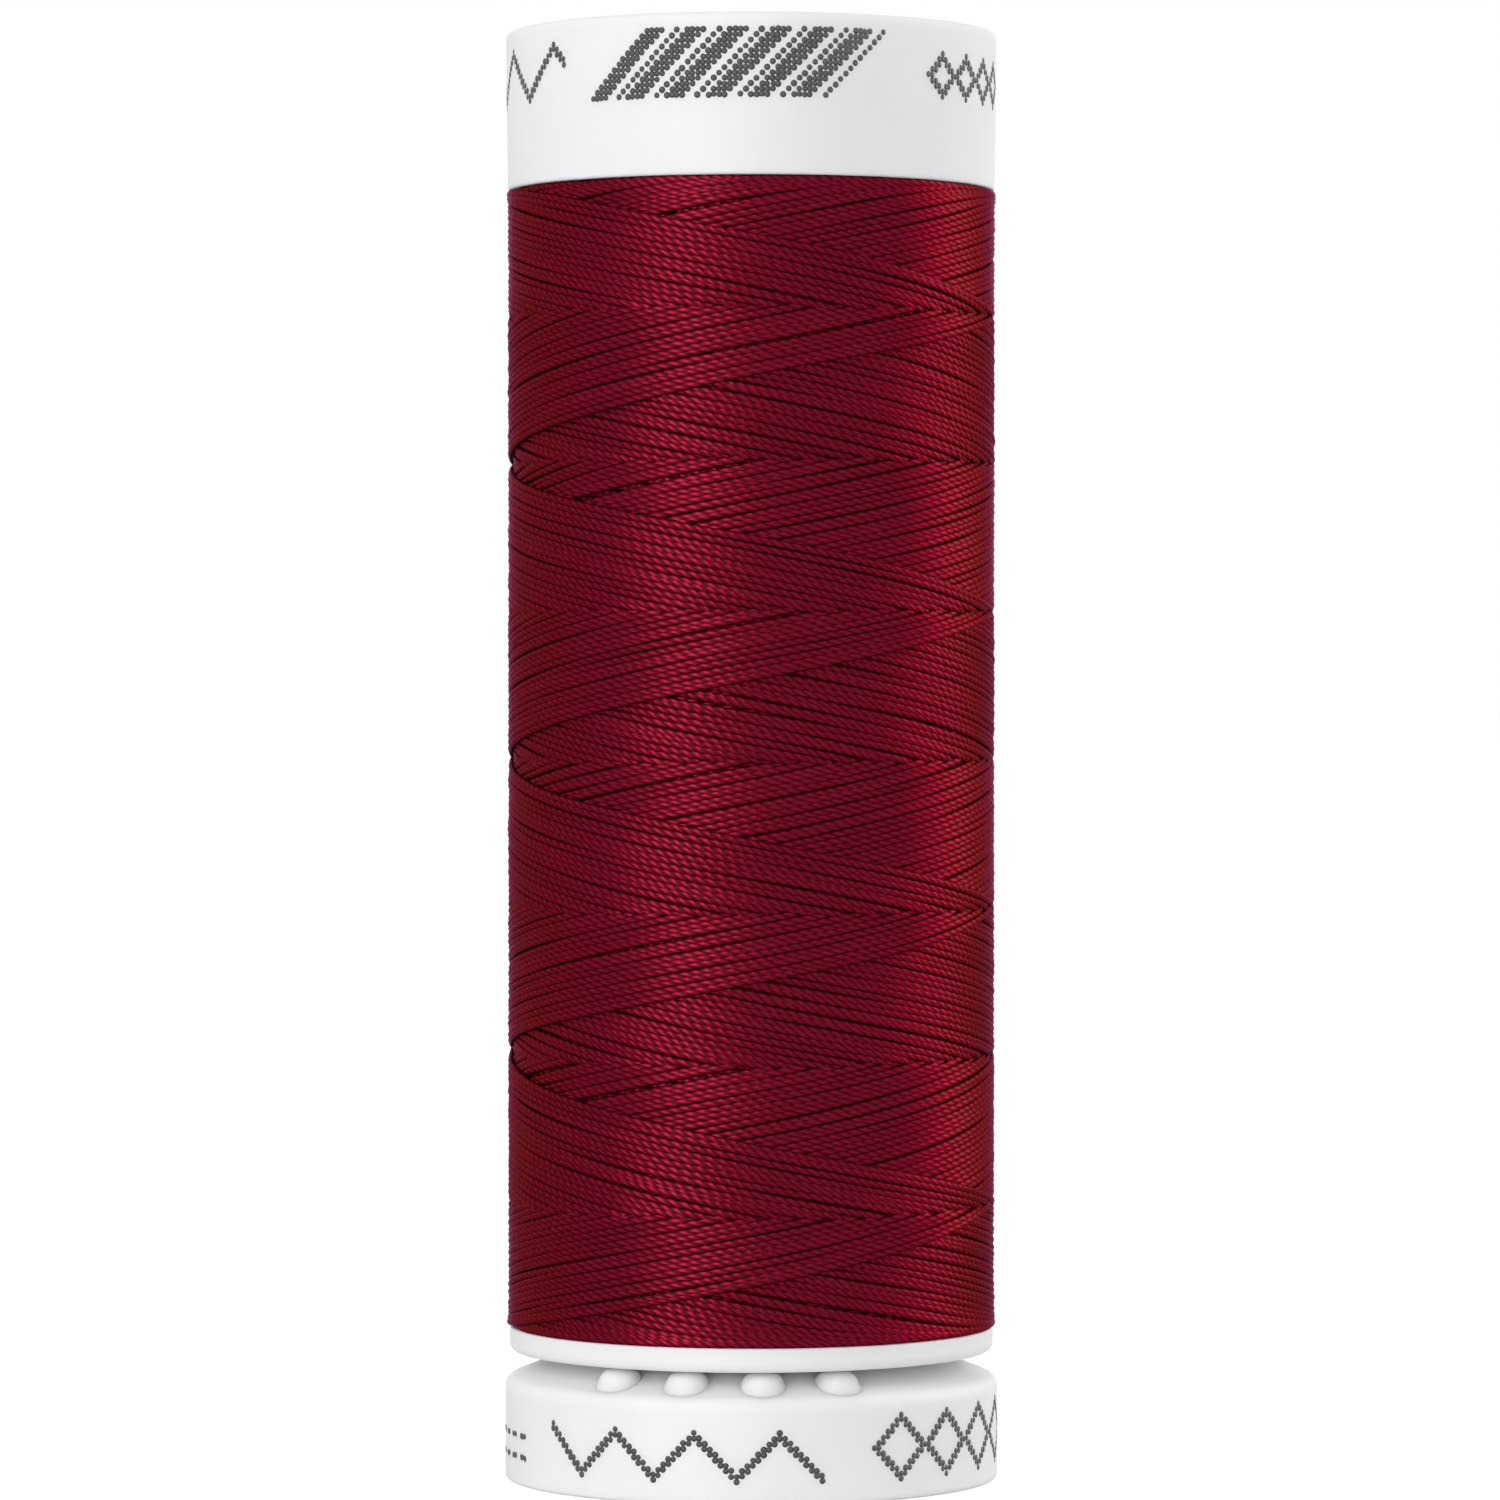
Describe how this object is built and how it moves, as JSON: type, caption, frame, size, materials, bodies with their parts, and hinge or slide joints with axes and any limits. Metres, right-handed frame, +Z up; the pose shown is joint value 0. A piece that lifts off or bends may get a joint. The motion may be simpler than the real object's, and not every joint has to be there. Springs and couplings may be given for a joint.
{
  "type": "spool of sewing thread",
  "caption": "Slim snap spool of dark red sewing thread: white hollow barrel with a top cap, standing on a snap foot; the barrel lifts 1.5 mm off the foot to open a nip groove for the thread's end.",
  "frame": {"origin": "on the spool's axis, in the plane of the foot's sole, where the spool stands", "axes": "+Z up along the spool's axis, from the foot to the top cap; -Y faces the viewer of the front"},
  "size_m": [0.0224, 0.0224, 0.0657],
  "materials": {
    "white_plastic": "moulded satin white polystyrene",
    "thread": "lustrous dark red filament thread"
  },
  "bodies": {
    "foot": {"snap_foot": "white_plastic"},
    "spool": {"spool_barrel": "white_plastic", "top_cap": "white_plastic", "thread_package": "thread", "thread_outer_winding": "thread"}
  },
  "joints": [
    {"name": "foot_snap", "type": "slide", "parent": "foot", "child": "spool", "axis": [0, 0, 1], "range_m": [0, 0.0015]}
  ]
}
